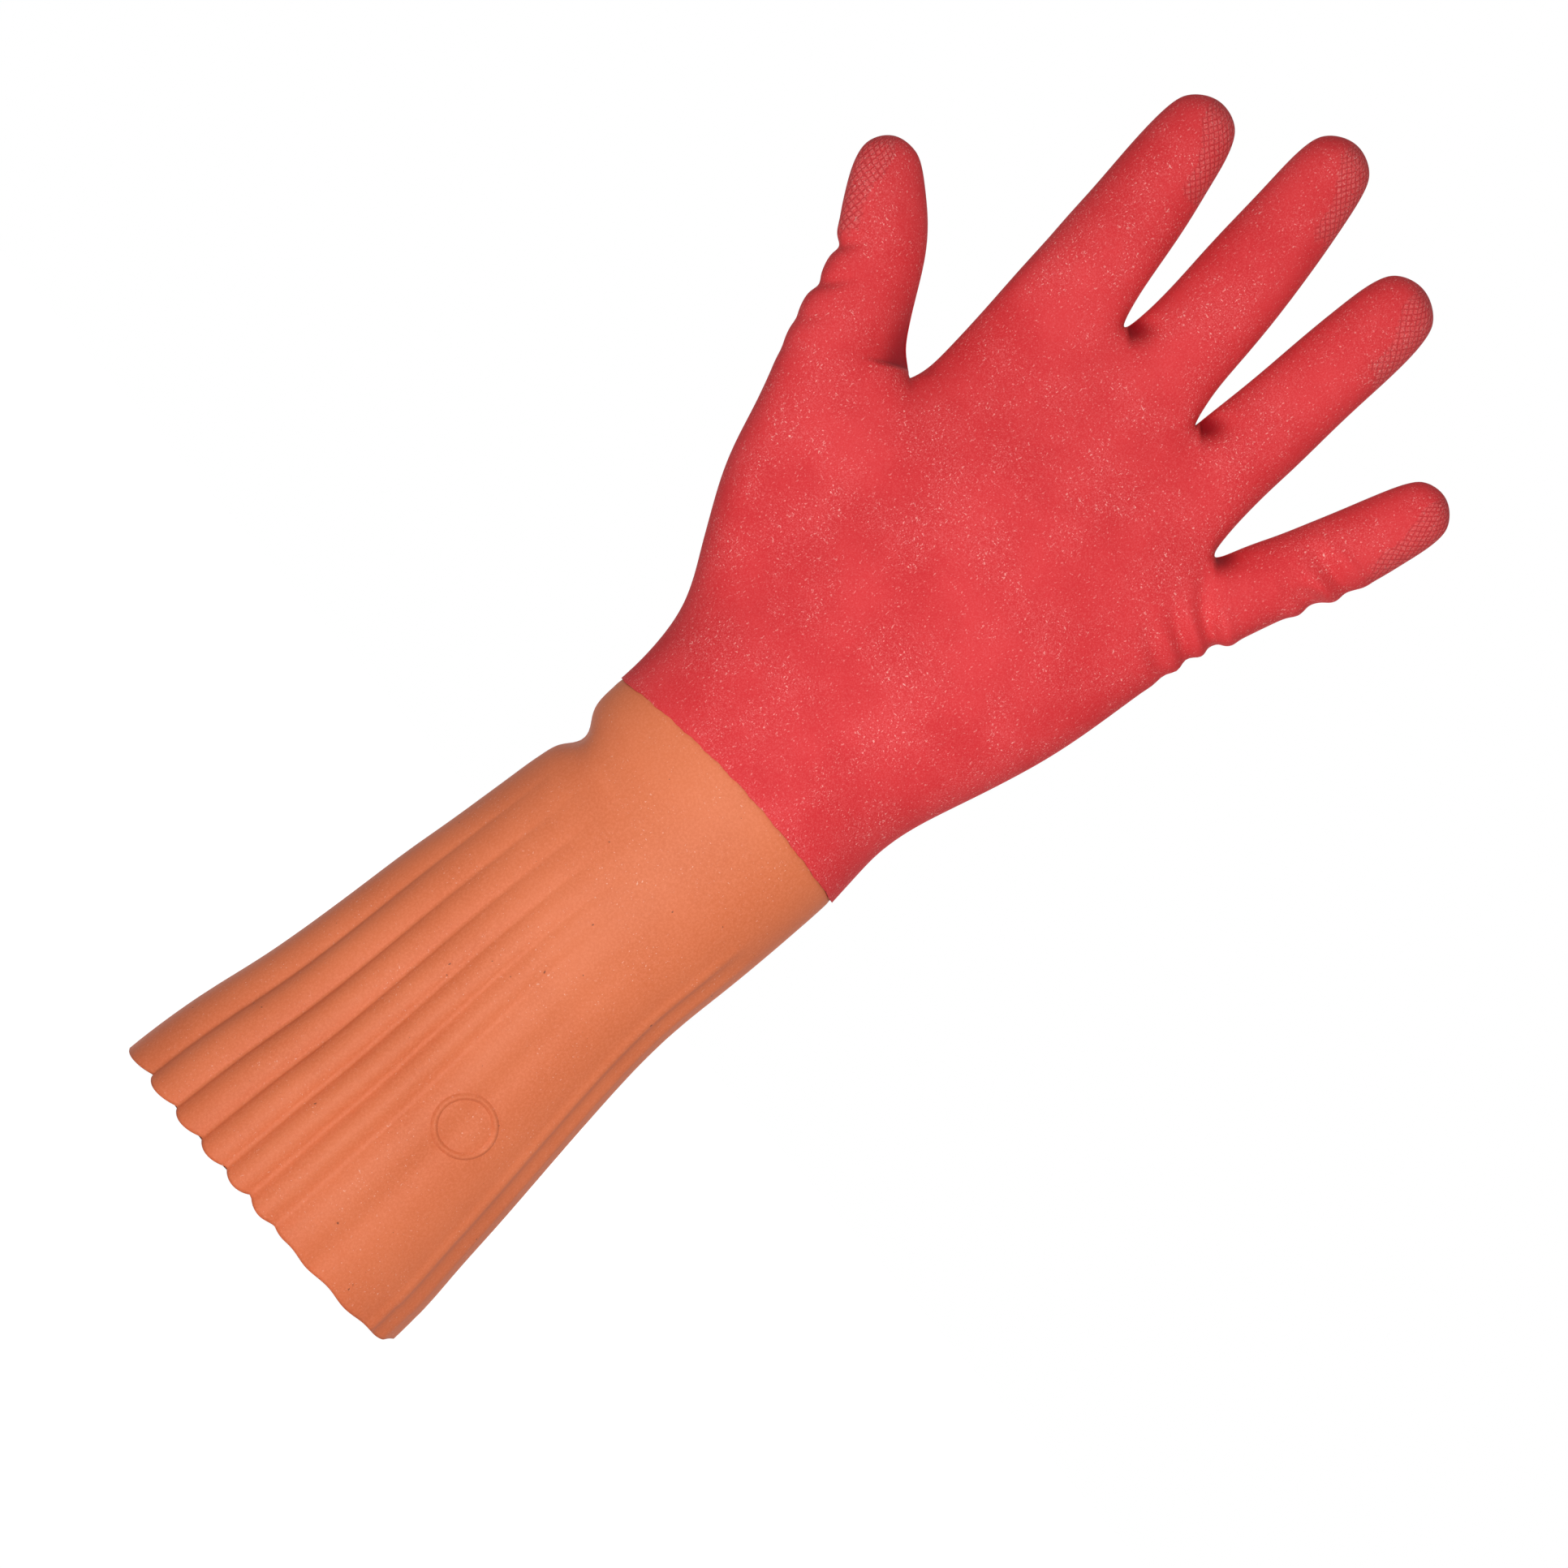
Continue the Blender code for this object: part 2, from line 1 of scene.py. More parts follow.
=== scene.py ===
"""A dipped rubber glove in two colours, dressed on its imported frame.

Sizes of the glove are in millimetres: across from the middle of the wrist, up from the edge of the red coat.
The studio, and places that are taken from the frame, are in metres.
"""
import json
import math

import bpy
import numpy as np
from mathutils import Matrix, Vector


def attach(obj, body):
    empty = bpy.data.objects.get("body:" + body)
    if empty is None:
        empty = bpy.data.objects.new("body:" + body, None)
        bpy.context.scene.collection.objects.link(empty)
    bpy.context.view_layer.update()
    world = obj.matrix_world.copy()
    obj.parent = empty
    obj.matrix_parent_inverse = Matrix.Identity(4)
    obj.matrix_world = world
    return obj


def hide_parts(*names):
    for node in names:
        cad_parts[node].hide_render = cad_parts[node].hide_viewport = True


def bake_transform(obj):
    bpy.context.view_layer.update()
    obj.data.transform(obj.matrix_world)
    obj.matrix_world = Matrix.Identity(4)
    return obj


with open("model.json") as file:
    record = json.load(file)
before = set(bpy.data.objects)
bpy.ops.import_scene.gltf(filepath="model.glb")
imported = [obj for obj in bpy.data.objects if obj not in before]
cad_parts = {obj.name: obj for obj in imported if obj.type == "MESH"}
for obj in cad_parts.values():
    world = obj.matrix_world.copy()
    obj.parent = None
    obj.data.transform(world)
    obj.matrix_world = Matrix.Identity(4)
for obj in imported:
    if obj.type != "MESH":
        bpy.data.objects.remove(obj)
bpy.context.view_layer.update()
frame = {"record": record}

# Studio: a pale floor under the hem, soft square lamps in front, high up and low behind, and a long lens
# square to the back of the hand, rolled so that the fingers point to the upper right.

picture_width = 0.3346
picture_middle = Vector((0.0198, 0, 0.1425))
picture_right = Vector((0.6561, 0, 0.7547))
picture_up = Vector((-0.7547, 0, 0.6561))
towards_camera = Vector((0, -1, 0))
camera_distance = 1.7
sensor_width = 36

camera = bpy.data.objects.new("camera", bpy.data.cameras.new("camera"))
camera.data.sensor_width = sensor_width
camera.data.lens = sensor_width * camera_distance / picture_width
camera_turn = Matrix((picture_right, picture_up, towards_camera)).transposed().to_4x4()
camera.matrix_world = Matrix.Translation(picture_middle + towards_camera * camera_distance) @ camera_turn
bpy.context.scene.collection.objects.link(camera)
bpy.context.scene.camera = camera
bpy.context.scene.view_settings.view_transform = "Standard"


class Shade:
    """An output of a shader node. A sum of shades and numbers adds its Math nodes to the tree."""

    def __init__(self, tree, output=None):
        self.tree = tree
        self.output = output

    def node(self, kind, settings, inputs, result):
        """A node with its settings and the values or links of its sockets, as the shade it gives."""
        made = self.tree.nodes.new("ShaderNode" + kind)
        for name, value in settings.items():
            setattr(made, name, value)
        for name, value in inputs.items():
            socket = next(each for each in made.inputs if name in (each.identifier, each.name))
            if isinstance(value, Shade):
                self.tree.links.new(value.output, socket)
            else:
                socket.default_value = value
        return Shade(self.tree, next(each for each in made.outputs if result in (each.identifier, each.name)))

    def math(self, operation, first, second=0.0):
        return self.node("Math", {"operation": operation}, {"Value": first, "Value_001": second}, "Value")

    def __add__(self, other):
        return self.math("ADD", self, other)

    def __sub__(self, other):
        return self.math("SUBTRACT", self, other)

    def __rsub__(self, other):
        return self.math("SUBTRACT", other, self)

    def __mul__(self, other):
        return self.math("MULTIPLY", self, other)

    def __abs__(self):
        return self.math("ABSOLUTE", self)

    def __mod__(self, other):
        return self.math("FLOORED_MODULO", self, other)

    __radd__ = __add__
    __rmul__ = __mul__

    def rise(self, low, high):
        """0 where this shade is under low, 1 where it is over high, and a smooth rise between."""
        limits = {"Value": self, "From Min": low, "From Max": high, "To Min": 0.0, "To Max": 1.0}
        return self.node("MapRange", {"interpolation_type": "SMOOTHSTEP", "clamp": True}, limits, "Result")

    def mix(self, mask, under, over):
        """The colour under, covered by the colour over where the mask is 1."""
        layers = {"Factor_Float": mask, "A_Color": under, "B_Color": over}
        return self.node("Mix", {"data_type": "RGBA"}, layers, "Result_Color")

    def feed(self, socket):
        self.tree.links.new(self.output, socket)


white = (1, 1, 1, 1)


def plain_white(tree, end_socket, lit, share, strength):
    """Lays a share of white over a lit surface that is seen directly, in a mirror or through glass."""
    start = Shade(tree)
    seen = {kind: start.node("LightPath", {}, {}, kind) for kind in (
        "Is Camera Ray", "Is Glossy Ray", "Is Transmission Ray")}
    direct = seen["Is Camera Ray"] + seen["Is Glossy Ray"] + seen["Is Transmission Ray"]
    glow_kind = "Background" if end_socket.node.type == "OUTPUT_WORLD" else "Emission"
    glow = start.node(glow_kind, {}, {"Color": white, "Strength": strength}, glow_kind)
    factor = start.math("MINIMUM", direct, 1.0) * share
    sockets = {"Fac": factor, "Shader": lit, "Shader_001": glow}
    start.node("MixShader", {}, sockets, "Shader").feed(end_socket)


room_strength = 0.22
world = bpy.data.worlds.new("studio")
world.use_nodes = True
bpy.context.scene.world = world
world.node_tree.nodes.clear()
world_end = world.node_tree.nodes.new("ShaderNodeOutputWorld")
room_light = Shade(world.node_tree).node(
    "Background", {}, {"Color": white, "Strength": room_strength}, "Background")
plain_white(world.node_tree, world_end.inputs["Surface"], room_light, share=1.0, strength=1.0)

floor_half = 3.0
floor_color = (0.9, 0.9, 0.9, 1)
floor_mesh = bpy.data.meshes.new("floor")
floor_corners = [(-floor_half, -floor_half, 0), (floor_half, -floor_half, 0),
                 (floor_half, floor_half, 0), (-floor_half, floor_half, 0)]
floor_mesh.from_pydata(floor_corners, [], [(0, 1, 2, 3)])
floor = bpy.data.objects.new("floor", floor_mesh)
floor_paint = bpy.data.materials.new("floor_paint")
floor_paint.use_nodes = True
floor_paint.node_tree.nodes.clear()
floor_end = floor_paint.node_tree.nodes.new("ShaderNodeOutputMaterial")
floor_lit = Shade(floor_paint.node_tree).node("BsdfDiffuse", {}, {"Color": floor_color}, "BSDF")
plain_white(floor_paint.node_tree, floor_end.inputs["Surface"], floor_lit, share=0.86, strength=1.16)
floor_mesh.materials.append(floor_paint)
bpy.context.scene.collection.objects.link(floor)


def soft_lamp(name, sideways, upwards, forwards, size, power, mirrored=True):
    """A square lamp placed from the middle of the picture, and turned towards it."""
    lamp = bpy.data.objects.new(name, bpy.data.lights.new(name, "AREA"))
    lamp.data.size = size
    lamp.data.energy = power
    lamp.visible_camera = False
    lamp.visible_glossy = mirrored
    place = picture_middle + picture_right * sideways + picture_up * upwards + towards_camera * forwards
    lamp.location = place
    lamp.rotation_euler = (picture_middle - place).to_track_quat("-Z", "Y").to_euler()
    bpy.context.scene.collection.objects.link(lamp)


soft_lamp("front_lamp", sideways=0.05, upwards=-0.09, forwards=0.64, size=0.30, power=3.2)
soft_lamp("high_lamp", sideways=-0.5, upwards=0.7, forwards=1.3, size=1.0, power=4)
soft_lamp("back_lamp", sideways=0.26, upwards=-0.28, forwards=-1.3, size=0.5, power=13, mirrored=False)

# Cuff: the long orange sleeve of the base rubber, dipped on a former that flares to the hem. Lengthwise
# flutes stiffen its thumb side and end in a scalloped hem. Its top goes on under the edge of the red coat.

MM = 0.001
joints = {joint["name"]: joint for joint in frame["record"]["behaviour"]["joints"]}
joint_at = {name: Vector(joint["pos_m"]) for name, joint in joints.items()}
wrist_line = joint_at["wrist_bend"]

cuff_length = 133.0
cuff_top = 7
cuff_sections = [
    # up, thumb side, little-finger side, half depth
    (-133, -41.9, 41.9, 30),
    (-120, -41, 41.2, 28.2),
    (-110, -39.8, 39.7, 26.9),
    (-100, -38.2, 38.5, 25.7),
    (-90, -37.2, 37.1, 24.6),
    (-80, -36.4, 35.7, 23.8),
    (-70, -35.6, 34.4, 23.1),
    (-60, -34.8, 33.1, 22.6),
    (-50, -33.6, 32, 22.3),
    (-40, -32.8, 31.6, 22.1),
    (-30, -32, 32, 22),
    (-20, -31.9, 32.3, 21.8),
    (-10, -32.1, 32.5, 21.6),
    (0, -32.4, 32.6, 21.3),
    (10, -34, 31.8, 20.6),
]
cuff_heights, cuff_thumb_side, cuff_little_side, cuff_half_depth = zip(*cuff_sections)

# Places across the hem: its half width, and the valleys between the flutes
hem_half = 41.5
flute_valleys = [-43.4, -35, -26.2, -17.6, -9.2, -1.2, 7]

# Heights of the relief. The flutes swing about a seat, which is a share of their crest.
flute_height, flute_seat, crest_roundness = 2.2, 0.75, 0.75
palm_wave, tuck_height, cuff_waver = 0.5, 0.55, 0.28
hem_step, drawn_in_under_coat = 0.22, 0.35

# How far the hem is cut up: between the flutes, where it wavers, and at the little-finger edge
lobe_lift, waver_lift, corner_lift = 1.6, 0.6, 2.0

# Ridges: middle, width and height, a dent where the height is negative
furrow_beside_flutes = [(13, 4, 0.5), (19, 3, -0.5)]
edge_folds = [(5.2, 0.9, 0.55), (3.2, 1.2, -0.45), (1.6, 0.6, 0.3)]
wrist_dents = [(-16.2, 4.2, -4.5), (-24, 4, -0.5)]


def ease(low, high, value):
    """0 up to low, 1 from high on, and smooth between. It falls where low is the larger of the two."""
    share = np.clip((value - low) / (high - low), 0, 1)
    return share * share * (3 - 2 * share)


def bump(value, middle, width):
    """A round hill of height 1."""
    return np.exp(-((value - middle) / width) ** 2)


def ridges(value, rows):
    """The heights of several ridges at a value."""
    return sum(high * bump(value, middle, width) for middle, width, high in rows)


def waves(first, second, seed):
    """Slow, uneven waves over two coordinates, about -1 to 1: sines in turned directions, each finer."""
    total = np.zeros(np.broadcast(first, second).shape)
    for step in range(5):
        turn_by = seed + 1.9 * step
        along = first * math.cos(turn_by) + second * math.sin(turn_by)
        fineness = 0.7 + 0.35 * step
        total = total + np.sin(along * fineness + 2.3 * turn_by) / 3
    return total


def flute_crest(hem_across):
    """0 in the valleys between flutes and 1 on their round crests, by the place across the hem."""
    nearest = np.interp(hem_across, flute_valleys, np.arange(len(flute_valleys)))
    return np.abs(np.sin(math.pi * nearest)) ** crest_roundness


def coat_edge(across):
    """How far up the edge of the red coat lies, by the place across the wrist: bowed, with a fine waver."""
    top, fall, top_across, reach = 2.3, 4.2, 8, 40
    bow = top - fall * ((across - top_across) / reach) ** 2
    return bow + 0.12 * np.sin(across * 0.9) + 0.06 * np.sin(across * 2.3 + 1)


def flowing(up, sizes):
    """A size of the cuff at a height, averaged over nearby heights so that it has no kinks."""
    shifts = (-5, -2.5, 0, 2.5, 5)
    return sum(np.interp(up + shift, cuff_heights, sizes) for shift in shifts) / len(shifts)


def cuff_surface(angle, up):
    """Points of the outside. The angle is 0 on the little-finger side and a quarter turn on the back."""
    left, right = flowing(up, cuff_thumb_side), flowing(up, cuff_little_side)
    deep = flowing(up, cuff_half_depth)
    middle, half = (left + right) / 2, (right - left) / 2
    out_across, out_back = np.cos(angle), np.sin(angle)
    across = middle + half * out_across
    hem_across = out_across * hem_half
    from_edge = right - across
    on_back = ease(-0.1, 0.25, out_back)
    near_hem = ease(-14, -108, up)

    # Flutes on the thumb side of the back, a furrow beside them and gentle waves on the palm side
    fluted = on_back * ease(11, 4, hem_across)
    height = flute_height * near_hem * fluted * (flute_crest(hem_across) - flute_seat)
    height += near_hem * on_back * ridges(hem_across, furrow_beside_flutes)
    height += palm_wave * near_hem * ease(-0.2, -0.5, out_back) * np.sin(hem_across * 0.42 + 0.6)

    # Folds along the little-finger edge, and the thinner band of the hem beside the flutes
    height += ease(0.0, 0.3, out_back) * ease(-14, -34, up) * ridges(from_edge, edge_folds)
    height -= hem_step * on_back * ease(9, 12, hem_across) * ease(-124.6, -125.4, up)

    # The thumb side of the wrist, pinched in, with small tucks over it
    pinched = np.clip(-out_across, 0, 1) ** 6 * ease(-1.1, 0.2, out_back)
    height += pinched * ridges(up, wrist_dents)
    tucked = on_back * bump(out_across, -0.75, 0.3) * bump(up, -18, 11)
    height += tuck_height * tucked * np.sin((up + 16) * 0.62 + out_across * 5)

    # A slow unevenness of the whole sleeve, and the part that lies under the red coat
    height += cuff_waver * waves(hem_across * 0.11, up * 0.05, 0.4) * ease(6, -8, up)
    height -= drawn_in_under_coat * ease(-1.5, 1.5, up - coat_edge(across))

    # The hem is cut up between the flutes, wavers elsewhere and is rounded off at the little-finger edge
    hem_lift = lobe_lift * fluted * (1 - flute_crest(hem_across))
    hem_lift = hem_lift + waver_lift * (1 - fluted) * (0.5 + 0.5 * np.sin(hem_across * 0.55 + 1.0))
    hem_lift = hem_lift + corner_lift * bump(from_edge, 0, 1.6) * ease(-0.7, -0.1, out_back)
    return np.stack([
        middle + (half + height) * out_across,
        -(deep + height) * out_back,
        up + hem_lift * ease(-112, -cuff_length, up),
    ], axis=-1)


def to_frame(points):
    """Millimetres from the wrist to metres in the frame."""
    return np.asarray(points, float) * MM + np.array((wrist_line.x, 0, cuff_length * MM))


def normals_of(points, faces):
    """A normal for each point of a mesh of four-sided faces."""
    corners = points[faces]
    of_face = np.cross(corners[:, 2] - corners[:, 0], corners[:, 3] - corners[:, 1])
    total = np.zeros_like(points)
    for corner in range(4):
        np.add.at(total, faces[:, corner], of_face)
    return total / np.linalg.norm(total, axis=1, keepdims=True)


def grid_faces(around, rows, start=0):
    """Four-sided faces of a closed tube: rows of points, each going round once."""
    row, step = np.meshgrid(np.arange(rows - 1), np.arange(around), indexing="ij")
    following = (step + 1) % around
    lower, upper = row * around, (row + 1) * around
    faces = [lower + step, upper + step, upper + following, lower + following]
    return np.stack(faces, axis=-1).reshape(-1, 4) + start


def new_piece(name, points, faces, finishes, finish_of_face):
    """A smooth mesh object with a finish for each face."""
    mesh = bpy.data.meshes.new(name)
    mesh.from_pydata(points.tolist(), [], faces)
    for finish in finishes:
        mesh.materials.append(finish)
    mesh.polygons.foreach_set("material_index", np.asarray(finish_of_face, np.int32))
    mesh.polygons.foreach_set("use_smooth", np.ones(len(faces), bool))
    piece = bpy.data.objects.new(name, mesh)
    bpy.context.scene.collection.objects.link(piece)
    return piece


def new_finish(name):
    """A material with its shader and the place on the piece, in millimetres, that its patterns use."""
    finish = bpy.data.materials.new(name)
    finish.use_nodes = True
    tree = finish.node_tree
    place = Shade(tree).node("TexCoord", {}, {}, "Object")
    place = place.node("VectorMath", {"operation": "SCALE"}, {"Vector": place, "Scale": 1 / MM}, "Vector")
    return finish, tree.nodes["Principled BSDF"], place


def noise(place, size, detail=2.0, rough=0.5):
    """Soft noise from 0 to 1 with blotches of about a size, in millimetres."""
    pattern = {"Vector": place, "Scale": 1.0 / size, "Detail": detail, "Roughness": rough}
    return place.node("TexNoise", {}, pattern, "Fac")


def emboss(shader, height, strength, depth):
    """Gives a shader fine relief, by the depth in millimetres of a height of 1."""
    relief = {"Height": height, "Strength": strength, "Distance": depth * MM}
    height.node("Bump", {}, relief, "Normal").feed(shader.inputs["Normal"])


def orange_rubber():
    """Satin rubber with a fine grain and faint cloudiness, a little pale dust and a few dark dots."""
    finish, shader, place = new_finish("orange_rubber")
    deep_orange, clear_orange = (0.625, 0.146, 0.053, 1), (0.685, 0.172, 0.067, 1)
    rubbed_orange, pale_dust = (0.80, 0.26, 0.13, 1), (0.86, 0.62, 0.50, 1)
    dark_dot = (0.16, 0.05, 0.03, 1)
    cloud = noise(place, 26, detail=3.0)
    grain = noise(place, 0.55, detail=3.0, rough=0.7)
    dust = noise(place, 0.46, detail=1.0).rise(0.68, 0.78) * noise(place, 15).rise(0.34, 0.66)
    dots = noise(place, 0.9, detail=0.0).rise(0.885, 0.9)
    color = place.mix(cloud.rise(0.3, 0.7), deep_orange, clear_orange)
    color = place.mix(grain.rise(0.35, 0.75) * 0.4, color, rubbed_orange)
    color = place.mix(dust * 0.5, color, pale_dust)
    color = place.mix(dots * 0.8, color, dark_dot)
    color.feed(shader.inputs["Base Color"])
    (0.50 + 0.16 * grain).feed(shader.inputs["Roughness"])
    emboss(shader, grain, strength=0.16, depth=0.12)
    shader.inputs["Specular IOR Level"].default_value = 0.26
    return finish


def flock():
    """Short cotton fibres stuck to the inside of the rubber."""
    finish, shader, place = new_finish("cotton_flock")
    shaded_cotton, cotton = (0.56, 0.40, 0.30, 1), (0.80, 0.68, 0.56, 1)
    nap = noise(place, 0.35, detail=4.0, rough=0.7)
    place.mix(nap.rise(0.3, 0.7), shaded_cotton, cotton).feed(shader.inputs["Base Color"])
    emboss(shader, nap, strength=0.6, depth=0.4)
    shader.inputs["Roughness"].default_value = 1.0
    shader.inputs["Specular IOR Level"].default_value = 0.1
    return finish


orange, lining = orange_rubber(), flock()
cuff_around, cuff_rows = 360, 170
angles = np.linspace(0, 2 * math.pi, cuff_around, endpoint=False)
ups = np.linspace(-cuff_length, cuff_top, cuff_rows)
outside = cuff_surface(angles[None, :], ups[:, None]).reshape(-1, 3)
outside_faces = grid_faces(cuff_around, cuff_rows)
cuff_normals = normals_of(outside, outside_faces)

# The inside is coarser: every second point round, and fewer rows. It is set in by the film, mostly
# sideways, and is level with the outside at the hem.
inner_around, inner_rows = cuff_around // 2, 40
film = np.array((0.9, 0.9, 0.18))
inner_row = np.linspace(0, cuff_rows - 1, inner_rows).round().astype(int)
inner_index = (inner_row[:, None] * cuff_around + np.arange(0, cuff_around, 2)[None, :]).reshape(-1)
inside = outside[inner_index] - film * cuff_normals[inner_index]
inside[:inner_around, 2] = outside[inner_index[:inner_around], 2]
inside_start = len(outside)
inside_faces = grid_faces(inner_around, inner_rows, inside_start)[:, ::-1]
rim = []
for step in range(inner_around):
    near, far = 2 * step, (2 * step + 2) % cuff_around
    rim.append([near, near + 1, far, inside_start + (step + 1) % inner_around, inside_start + step])
cuff_faces = outside_faces.tolist() + inside_faces.tolist() + rim
cuff_finish = [0] * len(outside_faces) + [1] * len(inside_faces) + [0] * len(rim)
cuff = new_piece("cuff", to_frame(np.vstack([outside, inside])), cuff_faces, [orange, lining], cuff_finish)
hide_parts("cuff_sleeve", "wrist_fold")
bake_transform(cuff)

# Raised ring: a low round bead of the same orange rubber on the back of the cuff, moulded with it in one
# dip. The rubber inside the ring is bare.

ring_across, ring_up, ring_radius = 17.3, -88.6, 6.4
bead_half_width, bead_height, bead_sunk = 0.85, 0.62, 0.06
bead_sharpness = 1.3
ring_steps, bead_steps = 120, 9
ring_angle = np.linspace(0, 2 * math.pi, ring_steps, endpoint=False)[None, :]
bead_side = np.linspace(-1, 1, bead_steps)[:, None]
bead_radius = ring_radius + bead_side * bead_half_width
bead_across = ring_across + bead_radius * np.cos(ring_angle)
bead_up = ring_up + bead_radius * np.sin(ring_angle)
bead_left, bead_right = flowing(bead_up, cuff_thumb_side), flowing(bead_up, cuff_little_side)
bead_turn = np.arccos((bead_across - (bead_left + bead_right) / 2) / ((bead_right - bead_left) / 2))
seat = cuff_surface(bead_turn, bead_up)

# Out of the cuff is square to two short steps on it, in radians and in millimetres
turn_step, up_step = 0.004, 0.2
beside = cuff_surface(bead_turn + turn_step, bead_up) - cuff_surface(bead_turn - turn_step, bead_up)
above = cuff_surface(bead_turn, bead_up + up_step) - cuff_surface(bead_turn, bead_up - up_step)
bead_out = np.cross(above, beside)
bead_out /= np.linalg.norm(bead_out, axis=-1, keepdims=True)
bead_rise = bead_height * np.cos(bead_side * math.pi / 2)[..., None] ** bead_sharpness - bead_sunk
bead_points = (seat + bead_out * bead_rise).reshape(-1, 3)
bead_faces = grid_faces(ring_steps, bead_steps)
ring = new_piece("raised_ring", to_frame(bead_points), bead_faces.tolist(), [orange], [0] * len(bead_faces))
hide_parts("size_ring")
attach(ring, "cuff")

# Hand: the red coat, dipped over the base rubber up to the fingertips in one piece. It is shaped here on
# one cage with the thumb and the fingers, smoothed, and then parted where each stretch bends.

palm_loops = [
    # up, thumb side, little-finger side, depth, angle of the first point on the back
    (0, -32.7, 33.0, 43, 18),
    (9, -33.2, 31.9, 42, 24),
    (24, -38.5, 31.2, 38, 38),
    (55, -39.5, 41.2, 34, 46),
    (85.2, -42.2, 42.5, 29.5, 44),
    (99, -41.2, 45.3, 26, 30),
]
loop_points = 20

# The rows of faces that the thumb grows out of, and the webs beside the fingers, across and up
thumb_rows = (2, 3)
finger_webs = [(-42.2, 116), (-18.7, 126.4), (7.1, 124.4), (30.3, 106.0), (46.8, 99)]
web_depth = 12.0

# Smoothing draws a ring of points in, so the cage is larger by this share for it to end at its size
ring_of_eight = 6 / (4 + 2 * math.cos(math.pi / 4))
palm_growth = 6 / (4 + 2 * math.cos(math.pi / 10))

# Each digit: its middles, across and up, with the width there; its tip; its thickness for each width; and
# for the thumb, how far its back leans sideways
digits = {
    "thumb": {
        "path": [(-53.6, 79.6, 24.6), (-57.2, 86.1, 23.2), (-59.5, 91, 21.2), (-62.2, 96.1, 19.8),
                 (-65.6, 101, 19.0), (-70, 105.5, 18.6), (-74.3, 109.7, 16.7), (-77.8, 113.3, 14.4),
                 (-80.6, 116.5, 10.4)],
        "tip": (-82.3, 118.9), "thickness": 0.88, "roll": -0.38,
    },
    "index": {
        "path": [(-32.4, 130.6, 23.0), (-33.9, 136.8, 22.4), (-35.5, 145, 21.0), (-37.0, 152.5, 19.9),
                 (-38.7, 160.2, 18.6), (-40.2, 167.2, 17.2), (-41.7, 173, 13.4)],
        "tip": (-42.8, 176.6), "thickness": 0.84,
    },
    "middle": {
        "path": [(-6.9, 132, 22.4), (-7.8, 141, 21.6), (-9.4, 153.6, 20.9), (-11.4, 165.4, 19.8),
                 (-13.0, 174.6, 18.7), (-14.3, 182.6, 17.3), (-15.3, 188.8, 13.8)],
        "tip": (-16.0, 192.8), "thickness": 0.85,
    },
    "ring": {
        "path": [(17.5, 126.5, 20.8), (17.6, 134, 20.3), (17.6, 145, 19.4), (17.3, 157, 18.9),
                 (17.1, 166.6, 18.4), (17.0, 173.8, 17.5), (17.2, 179.6, 14.0)],
        "tip": (17.3, 183.4), "thickness": 0.86,
    },
    "little": {
        "path": [(41.3, 113.4, 17.7), (43.9, 120.3, 16.9), (46.4, 126.8, 17.2), (48.8, 134.2, 16.9),
                 (50.6, 142, 15.9), (52.4, 149.2, 15.0), (53.5, 154.3, 11.8)],
        "tip": (54.3, 157.5), "thickness": 0.85,
    },
}
fingers = ("index", "middle", "ring", "little")

# Tags tell the pieces apart: the hand, and the lower stretch and the tip of each digit. A lower stretch
# takes up this many bands of faces.
hand_tag = 0
digit_tags = {name: (2 * place + 1, 2 * place + 2) for place, name in enumerate(digits)}
lower_bands = 2


def palm_loop(up, left, right, depth, first_angle):
    """Twenty points round the hand: thumb side, nine on the back, little-finger side, nine on the palm."""
    middle, half, deep = (left + right) / 2, (right - left) / 2 * palm_growth, depth / 2 * palm_growth
    first, last = math.pi - math.radians(first_angle), math.pi / 10
    back = [first + (last - first) * step / 8 for step in range(9)]
    turns = [math.pi, *back, 0, *[-turn for turn in reversed(back)]]
    return [(middle + half * math.cos(turn), -deep * math.sin(turn), up) for turn in turns]


def eighth_turn(step):
    """The angle of a point of a digit's ring, from its thumb-side back corner over the back."""
    return math.radians(135 - 45 * step)


def digit_ring(digit, place):
    """Eight points round a digit at one of its middles."""
    path = digit["path"]
    x, up, width = path[place]
    before = path[max(place - 1, 0)]
    after = path[place + 1] if place + 1 < len(path) else digit["tip"]
    run, rise = after[0] - before[0], after[1] - before[1]
    length = math.hypot(run, rise)
    across, along = rise / length, run / length
    half = width / 2 * ring_of_eight
    thick = half * digit["thickness"]
    points = []
    for step in range(8):
        side, back = half * math.cos(eighth_turn(step)), thick * math.sin(eighth_turn(step))
        side += digit.get("roll", 0) * max(0, back)
        points.append((x + across * side, -back, up - along * side))
    return points


